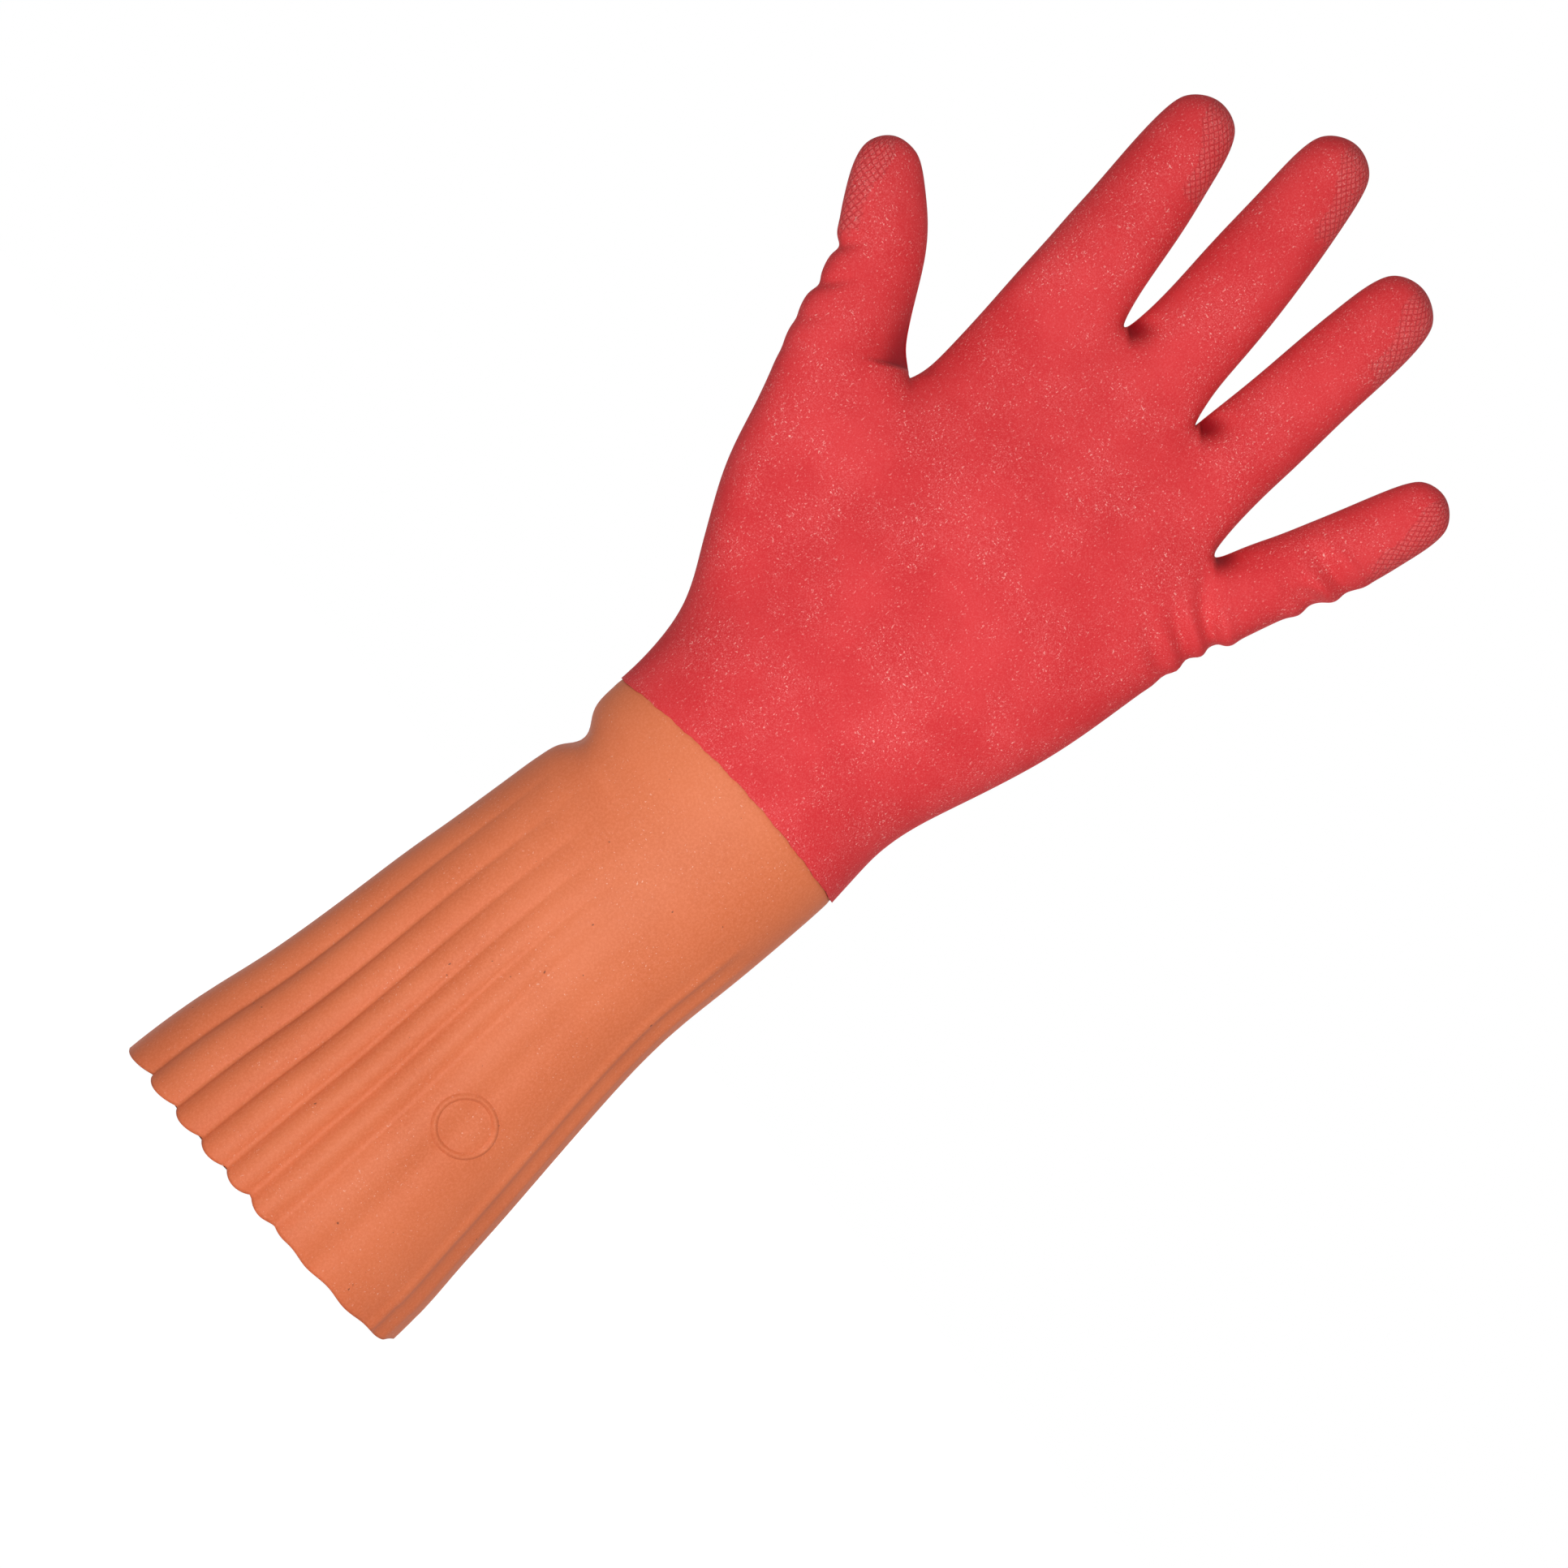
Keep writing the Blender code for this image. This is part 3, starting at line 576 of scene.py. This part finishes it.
def hand_cage():
    """The points, four-sided faces and piece tags of the whole red coat."""
    points, faces, tags = [], [], []

    def add(places):
        points.extend(places)
        return list(range(len(points) - len(places), len(points)))

    def face(corners, tag):
        faces.append(corners)
        tags.append(tag)

    def tube(start, rings, hand_bands, lower_and_tip, tip):
        """Bands of faces from eight points of the hand to a tip. The first ones are the hand's."""
        band_tags = [hand_tag] * hand_bands + [lower_and_tip[0]] * lower_bands
        band_tags += [lower_and_tip[1]] * (len(rings) + 1 - len(band_tags))
        lower = start
        for ring_points, tag in zip(rings, band_tags):
            upper = add(ring_points)
            for step in range(8):
                face((lower[step - 1], lower[step], upper[step], upper[step - 1]), tag)
            lower = upper
        end = add([tip])[0]
        for step in range(0, 8, 2):
            face((end, lower[step], lower[step + 1], lower[(step + 2) % 8]), band_tags[-1])

    # The hand's loops, the last of which runs along the webs
    loops = [add(palm_loop(*loop)) for loop in palm_loops]
    back, palm, web = [], [], []
    for place, (across, up) in enumerate(finger_webs):
        back += add([(across, -web_depth / 2, up)])
        palm += add([(across, web_depth / 2, up)])
        web += add([(across, 0, up)])
        if place < len(fingers):
            finger = digits[fingers[place]]
            half = finger["path"][0][2] * finger["thickness"] / 2 * ring_of_eight
            beside_across, beside_up = finger_webs[place + 1]
            back += add([((across + beside_across) / 2, -half, (up + beside_up) / 2)])
            palm += add([((across + beside_across) / 2, half, (up + beside_up) / 2)])
    loops.append([web[0], *back, web[-1], *reversed(palm)])
    for row, (lower, upper) in enumerate(zip(loops, loops[1:])):
        for step in (range(1, loop_points - 1) if row in thumb_rows else range(loop_points)):
            following = (step + 1) % loop_points
            face((lower[step], lower[following], upper[following], upper[step]), hand_tag)

    # The thumb, with a ring halfway to the hand that swells on the outer side. Smoothing draws a tip in, so
    # that of each digit is set 1 mm further out.
    low, mid, high = loops[2], loops[3], loops[4]
    start = [low[1], mid[1], high[1], high[0], high[-1], mid[-1], low[-1], low[0]]
    thumb = digits["thumb"]
    rings = [digit_ring(thumb, place) for place in range(len(thumb["path"]))]
    thumb_swell = 3.0
    halfway = []
    for step, (corner, point) in enumerate(zip(start, rings[0])):
        swell = thumb_swell * max(0, -math.cos(eighth_turn(step)))
        between = [(a + b) / 2 for a, b in zip(points[corner], point)]
        halfway.append((between[0] - 0.8 * swell, between[1], between[2] + 0.6 * swell))
    tip = (thumb["tip"][0] - 0.6, 0, thumb["tip"][1] + 0.8)
    tube(start, [halfway, *rings], hand_bands=2, lower_and_tip=digit_tags["thumb"], tip=tip)

    for place, name in enumerate(fingers):
        finger = digits[name]
        at = 2 * place
        start = [*back[at:at + 3], web[place + 1], *reversed(palm[at:at + 3]), web[place]]
        rings = [digit_ring(finger, ring_place) for ring_place in range(len(finger["path"]))]
        tip = (finger["tip"][0], 0, finger["tip"][1] + 1.0)
        tube(start, rings, hand_bands=1, lower_and_tip=digit_tags[name], tip=tip)
    return points, faces, tags


def smoothed(points, faces, tags, levels):
    """The cage rounded by subdivision, as arrays of points, faces and tags."""
    mesh = bpy.data.meshes.new("cage")
    mesh.from_pydata(points, [], faces)
    mesh.polygons.foreach_set("material_index", np.asarray(tags, np.int32))
    for _ in range(max(tags) + 1):
        mesh.materials.append(None)
    holder = bpy.data.objects.new("cage", mesh)
    bpy.context.scene.collection.objects.link(holder)
    rounding = holder.modifiers.new("rounding", "SUBSURF")
    rounding.levels = levels
    rounding.render_levels = levels
    made = bpy.data.meshes.new_from_object(holder.evaluated_get(bpy.context.evaluated_depsgraph_get()))
    places = np.zeros(len(made.vertices) * 3)
    made.vertices.foreach_get("co", places)
    corners = np.zeros(len(made.loops), np.int64)
    made.loops.foreach_get("vertex_index", corners)
    kinds = np.zeros(len(made.polygons), np.int32)
    made.polygons.foreach_get("material_index", kinds)
    bpy.data.objects.remove(holder)
    bpy.data.meshes.remove(made)
    bpy.data.meshes.remove(mesh)
    return places.reshape(-1, 3), corners.reshape(-1, 4), kinds


def line_distance(places, start, end):
    """How far places, across and up, lie from a line, and how far along it."""
    start, end = np.array(start, float), np.array(end, float)
    run = end - start
    along = np.clip(((places - start) @ run) / (run @ run), 0, 1)
    return np.linalg.norm(places - start - along[:, None] * run, axis=1), along


# Folds: start and end, across and up, then width and depth
back_folds = [
    ((32.5, 106.0), (38.5, 103.0), 2.0, 0.6),
    ((36.0, 101.9), (47.6, 96.6), 1.9, 1.4),
    ((34.4, 95.5), (46.4, 91.0), 1.8, 1.0),
    ((34.5, 88.6), (44.0, 85.2), 1.7, 0.6),
    ((44.6, 126.8), (55.8, 127.3), 1.8, 1.1),
    ((47.0, 118.2), (54.8, 120.8), 1.8, 1.2),
]
palm_folds = [
    ((44, 90), (2, 104), 2.0, 1.0),
    ((-40, 90), (24, 76), 2.0, 0.8),
    ((-42, 121), (-22, 124), 1.7, 0.9),
    ((-17, 124), (5, 123), 1.7, 0.9),
    ((8, 121), (29, 114), 1.7, 0.9),
    ((31, 106), (47, 101), 1.7, 0.9),
]

# Swells, with a height in place of the depth: the ball of the thumb, the little finger's, and the cup
palm_swells = [
    ((-36, 62), (-22, 28), 13, 2.0),
    ((26, 62), (22, 26), 12, 1.6),
    ((-8, 84), (0, 40), 14, -1.8),
]

# Creases on the outer side of the thumb: across, up and depth
thumb_creases = [(-71.9, 93.8, 1.0), (-68.2, 85.9, 0.8), (-65.2, 77.8, 0.3), (-62.4, 71, 0.15)]
thumb_crease_ends = ((-2.6, -3.0), (4, 4.6))
coat_waver, waver_pace = 0.22, 0.13
web_line, web_filling, web_width = ((-43.0, 85.5), (-44.5, 84.0)), 1.7, 4.5
outer_swell = 2.9
ball_middle, ball_radius, ball_line_width, ball_line_depth = (-52, 50), 40.5, 2.6, 1.0
digit_crease_shift, digit_crease_reach, digit_crease_width, digit_crease_depth = 1.6, 0.42, 1.3, 0.8


def wrinkles(points, normals):
    """Heights of the folds, dents and waves that the worn coat shows, over its smooth shape."""
    across, up = points[:, 0], points[:, 2]
    places = np.stack([across, up], axis=1)
    on_back = ease(-0.6, 0.1, -normals[:, 1])
    on_palm = ease(0.0, 0.5, normals[:, 1])

    def fold(start, end, width, depth):
        """A furrow with a soft ridge along both sides, fading at its ends."""
        distance, along = line_distance(places, start, end)
        ends = 0.35 + 0.65 * np.sin(math.pi * along)
        return ends * depth * (0.45 * bump(distance, 2.0 * width, 0.9 * width) - bump(distance, 0, width))

    # Unevenness, and the folds on the back at the little finger and below it
    height = coat_waver * waves(across * waver_pace, up * waver_pace, 1.1) * ease(2, 14, up)
    for start, end, width, depth in back_folds:
        height += on_back * fold(start, end, width, depth)

    # The web of the thumb, filled out, and the outer side of the hand below it
    web_distance, _ = line_distance(places, *web_line)
    height += web_filling * bump(web_distance, 0, web_width)
    outer = ease(-0.1, 1.0, -normals[:, 0])
    height += outer_swell * outer * bump(up, 42, 20) * ease(-26, -42, across)

    # The palm: swells, folds and the line round the ball of the thumb
    for start, end, width, swell in palm_swells:
        distance, _ = line_distance(places, start, end)
        height += on_palm * swell * bump(distance, 0, width)
    for start, end, width, depth in palm_folds:
        height += on_palm * fold(start, end, width, depth)
    from_ball = places - np.array(ball_middle)
    ball_turn = np.arctan2(from_ball[:, 1], from_ball[:, 0])
    ball_line = bump(np.hypot(from_ball[:, 0], from_ball[:, 1]), ball_radius, ball_line_width)
    ball_ends = ease(-0.7, -0.1, ball_turn) * ease(1.15, 0.75, ball_turn)
    height -= ball_line_depth * on_palm * ball_line * ball_ends

    # Two creases on the palm side of each digit, and those on the outer side of the thumb
    for digit in digits.values():
        middle, following = digit["path"][3], digit["path"][4]
        run = np.array((following[0] - middle[0], following[1] - middle[1]))
        run /= np.linalg.norm(run)
        sideways = np.array((run[1], -run[0])) * middle[2] * digit_crease_reach
        for shift in (-digit_crease_shift, digit_crease_shift):
            place = np.array(middle[:2]) + run * shift
            crease = fold(place - sideways, place + sideways, digit_crease_width, digit_crease_depth)
            height += on_palm * crease
    for crease_across, crease_up, depth in thumb_creases:
        start, end = ((crease_across + run, crease_up + rise) for run, rise in thumb_crease_ends)
        distance, _ = line_distance(places, start, end)
        crease = 0.15 * bump(distance, 3.4, 1.8) - bump(distance, 0, 1.5)
        height += depth * ease(-0.1, 0.6, -normals[:, 0]) * crease
    return height


# Pockets: between two fingers, the place across and up and a size; beside the thumb, lines with a share of
# the depth at each end
finger_pockets = [(-18.6, 128.8, 1.0), (7.1, 126.8, 1.0), (30.3, 111.0, 0.9)]
thumb_pockets = [((-43.6, 86.6), (-49.5, 95.5), 1.0, 0.6), ((-49.5, 95.5), (-57, 105), 0.6, 0.0)]
pocket_beside, pocket_below = np.array((0.656, 0.755)), np.array((0.755, -0.656))
thumb_web, thumb_web_side = np.array((-44.6, 85.6)), np.array((0.6, -0.8))
thumb_pocket_width = 4.6


def hollows(points, normals):
    """1 in the pockets beside the webs, where one digit passes behind the next, and 0 away from them."""
    places = points[:, [0, 2]]
    amount = np.zeros(len(points))
    for crotch_across, crotch_up, size in finger_pockets:
        from_crotch = places - np.array((crotch_across, crotch_up))
        beside, below = from_crotch @ pocket_beside / size, from_crotch @ pocket_below / size
        amount += ease(-0.3, 0.7, beside) * bump(beside, 1.0, 4.2) * bump(below, 0.8, 2.7)
    web_side = ease(0.5, -0.6, (places - thumb_web) @ thumb_web_side)
    for start, end, first, last in thumb_pockets:
        distance, along = line_distance(places, start, end)
        depth = first + (last - first) * along
        amount = np.maximum(amount, depth * bump(distance, 0, thumb_pocket_width) * web_side)
    return amount * ease(-0.25, 0.3, -normals[:, 1])


def stretched(place, shares):
    """The place with its patterns drawn out where a share is under 1."""
    factors = {"Vector": place, "Vector_001": shares}
    return place.node("VectorMath", {"operation": "MULTIPLY"}, factors, "Vector")


def red_rubber():
    """Matte rubber with pale flock fibres, rubbed off in places, and a scaled grip at the fingertips, with
    painted shade in its grooves and in the pockets between the digits, and painted highlights on its scale
    tops.
    """
    finish, shader, place = new_finish("red_rubber")
    deep_red, clear_red = (0.625, 0.026, 0.032, 1), (0.695, 0.040, 0.046, 1)
    dusty_red, pale_fibre = (0.80, 0.15, 0.15, 1), (0.92, 0.55, 0.50, 1)
    # Painted shade for the grip's grooves, and a pale tint for the scale tops: partly painted highlight,
    # partly rubbed wear
    groove_painted_shade, rubbed_and_highlit_scale = (0.40, 0.020, 0.028, 1), (0.80, 0.25, 0.23, 1)
    # Painted shade for the pockets between the digits
    pocket_painted_shade = (0.33, 0.004, 0.012, 1)

    # The coat: cloudy, dusty, and with fibres that lie both ways where it isn't rubbed
    cloud = noise(place, 17, detail=3.0)
    grain = noise(place, 0.6, detail=3.0, rough=0.7)
    fibre = noise(stretched(place, (1.0, 1.0, 0.62)), 0.37, detail=1.0)
    long_fibre = noise(stretched(place, (0.45, 1.0, 1.0)), 0.42, detail=1.0)
    dust = noise(place, 0.34, rough=0.7)
    strewn = noise(place, 11).rise(0.36, 0.66)
    specks = fibre.rise(0.64, 0.76) * (0.45 + 0.45 * strewn) + long_fibre.rise(0.67, 0.78) * strewn
    color = place.mix(cloud.rise(0.3, 0.72), deep_red, clear_red)
    color = place.mix(dust.rise(0.42, 0.72) * (0.24 + 0.3 * strewn), color, dusty_red)
    color = place.mix(place.math("MINIMUM", specks * 0.62, 0.8), color, pale_fibre)

    # The grip: diamond scales between two sets of slanted, wavering lines, by the places stored on the mesh.
    # The grooves get painted shade, and the scale tops a pale tint, partly painted highlight and partly
    # rubbed wear.
    grip = place.node("Attribute", {"attribute_name": "grip"}, {}, "Vector")
    split = {axis: grip.node("SeparateXYZ", {}, {"Vector": grip}, axis) for axis in ("X", "Y", "Z")}
    pitch, stray, ragged = 1.9, 0.9, 1.6
    rising = (split["X"] + split["Y"] + noise(place, 1.7) * stray) * (1 / pitch)
    falling = (split["X"] - split["Y"] + noise(place, 2.3) * stray) * (1 / pitch)
    edge = place.math("MINIMUM", abs((rising % 1.0) - 0.5), abs((falling % 1.0) - 0.5))
    groove = 1 - edge.rise(0.02, 0.24)
    mask = (split["Z"] + noise(place, 2.2) * ragged - ragged / 2).rise(0.3, 0.8)
    # Painted shade in the grooves between the scales
    color = place.mix(mask * groove * 0.34, color, groove_painted_shade)
    # A painted highlight on the scale tops, stronger where the dusty rubbing lies
    color = place.mix(mask * (1 - groove) * (0.05 + 0.3 * dust.rise(0.35, 0.65)), color, rubbed_and_highlit_scale)

    # Painted shade: the pockets between the digits are darkened, as the shade that falls into them
    painted_pocket_shade = place.node("Attribute", {"attribute_name": "painted_pocket_shade"}, {}, "Fac").rise(0.1, 0.95)
    color = place.mix(painted_pocket_shade * 0.85, color, pocket_painted_shade)
    color.feed(shader.inputs["Base Color"])
    (0.60 + 0.2 * grain).feed(shader.inputs["Roughness"])
    emboss(shader, grain * 0.35 + specks * 0.35 - mask * groove * 1.6, strength=0.4, depth=0.18)
    shader.inputs["Specular IOR Level"].default_value = 0.2
    return finish


red = red_rubber()
coat_levels, under_levels = 4, 2
hollow_depth = 4.2
coat_film = 1.3
cage = hand_cage()
coat_points, coat_faces, coat_tags = smoothed(*cage, coat_levels)
under_points, under_faces, under_tags = smoothed(*cage, under_levels)
coat_normals = normals_of(coat_points, coat_faces)
under_normals = normals_of(under_points, under_faces)

# The inside is coarser, so it follows only the dents, and deeper, to stay under the outside
inner_dent_share = 1.4
inner_dents = inner_dent_share * np.minimum(0, wrinkles(under_points, under_normals))
coat_points = coat_points + coat_normals * wrinkles(coat_points, coat_normals)[:, None]
under_points = under_points + under_normals * inner_dents[:, None]
# The outside's pocket amounts also set the painted shade of the red rubber in the pockets
coat_hollows, under_hollows = hollows(coat_points, coat_normals), hollows(under_points, under_normals)
coat_points[:, 1] += hollow_depth * coat_hollows
under_points[:, 1] += hollow_depth * under_hollows
for places in (coat_points, under_points):
    places[:, 2] += coat_edge(places[:, 0]) * ease(20, 0, places[:, 2])
coat_normals = normals_of(coat_points, coat_faces)
under_points = under_points - under_normals * coat_film


def grip_places(points, name):
    """Round and along a digit, in millimetres, and how much it is covered with grip scales."""
    path = np.array([middle[:2] for middle in digits[name]["path"]] + [digits[name]["tip"]], float)
    places = points[:, [0, 2]]
    best = np.full(len(points), np.inf)
    along_best, side_best = np.zeros(len(points)), np.zeros(len(points))
    total = 0.0
    for start, end in zip(path, path[1:]):
        distance, along = line_distance(places, start, end)
        run = end - start
        length = np.linalg.norm(run)
        side = ((places - start) @ np.array((run[1], -run[0]))) / length
        near = distance < best
        best[near] = distance[near]
        along_best[near] = (total + along * length)[near]
        side_best[near] = side[near]
        total += length

    # The scales go round the palm side and wrap further over the back towards the tip, by borders in radians
    # round the digit and in millimetres along it
    usual_radius = 9.0
    turn = np.arctan2(points[:, 1], side_best if name != "thumb" else -side_best)
    near_border = -1.0 - 0.75 * ease(total - 17, total - 4, along_best)
    lower_border = total - 23 - 5 * np.maximum(0, np.sin(turn))
    covered = ease(-0.15, 0.15, turn - near_border) * ease(2.75, 2.5, turn)
    covered = covered * ease(-4, 4, along_best - lower_border)
    return np.stack([turn * usual_radius, along_best, covered], axis=1)


# The edge of the dip is a brim turned in from the open edges under this height
brim_below, brim_turned_in, brim_lift = 8, 0.7, np.array((0, 0, 0.1))


def coat_piece(name, tag, with_edge=False):
    """One stretch of the coat: its outside, the flocked inside and, at the wrist, the edge of the dip."""
    chosen = coat_faces[coat_tags == tag]
    used, corners = np.unique(chosen, return_inverse=True)
    inner = under_faces[under_tags == tag][:, ::-1]
    inner_used, inner_corners = np.unique(inner, return_inverse=True)
    points = [coat_points[used], under_points[inner_used]]
    faces = corners.reshape(-1, 4).tolist() + (inner_corners.reshape(-1, 4) + len(used)).tolist()
    finish = [0] * len(chosen) + [1] * len(inner)
    normals = [coat_normals[used], -under_normals[inner_used]]
    if with_edge:
        edges = np.sort(np.concatenate([chosen[:, [side, (side + 1) % 4]] for side in range(4)]), axis=1)
        edge_list, count = np.unique(edges, axis=0, return_counts=True)
        open_edges = edge_list[(count == 1) & (coat_points[edge_list, 2].max(axis=1) < brim_below)]
        lookup = {old: new for new, old in enumerate(used)}
        brim = np.unique(open_edges)
        brim_new = {old: len(used) + len(inner_used) + place for place, old in enumerate(brim)}
        points.append(coat_points[brim] - coat_normals[brim] * brim_turned_in + brim_lift)
        normals.append(np.tile((0, 0, -1.0), (len(brim), 1)))
        for first, second in open_edges:
            faces.append([lookup[first], lookup[second], brim_new[second], brim_new[first]])
            finish.append(0)
    points = np.vstack(points)
    piece = new_piece(name, to_frame(points), faces, [red, lining], finish)
    # Painted shade: how far each point lies in a pocket, which darkens the red there
    pocket_shade_amounts = np.zeros(len(points))
    pocket_shade_amounts[: len(used)] = coat_hollows[used]
    piece.data.attributes.new("painted_pocket_shade", "FLOAT", "POINT").data.foreach_set("value", pocket_shade_amounts)
    digit = name.split("_")[0]
    values = grip_places(points, digit) if digit in digits else np.zeros((len(points), 3))
    piece.data.attributes.new("grip", "FLOAT_VECTOR", "POINT").data.foreach_set("vector", values.reshape(-1))
    piece.data.normals_split_custom_set_from_vertices(np.vstack(normals).tolist())
    return piece


hand = coat_piece("hand", hand_tag, with_edge=True)
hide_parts("hand_coat", "knuckle_fold", "knuckle_coat")
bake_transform(hand)

# Thumb and fingers: the same red coat, one skin with the hand's. Each digit has a lower stretch from the
# root of the digit, and a closed tip above it.


def bending_stretch(name, tag, joint_name, nodes):
    """A stretch of a digit, cut from the coat, which takes the place of the frame's nodes."""
    piece = coat_piece(name, tag)
    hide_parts(*nodes)
    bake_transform(piece)


for name, (root_tag, tip_tag) in digit_tags.items():
    bending_stretch(
        name + "_lower", root_tag, name + "_root_bend",
        (name + "_root_fold", name + "_lower_coat"))
    bending_stretch(
        name + "_tip", tip_tag, name + "_tip_bend",
        (name + "_tip_fold", name + "_tip_coat"))
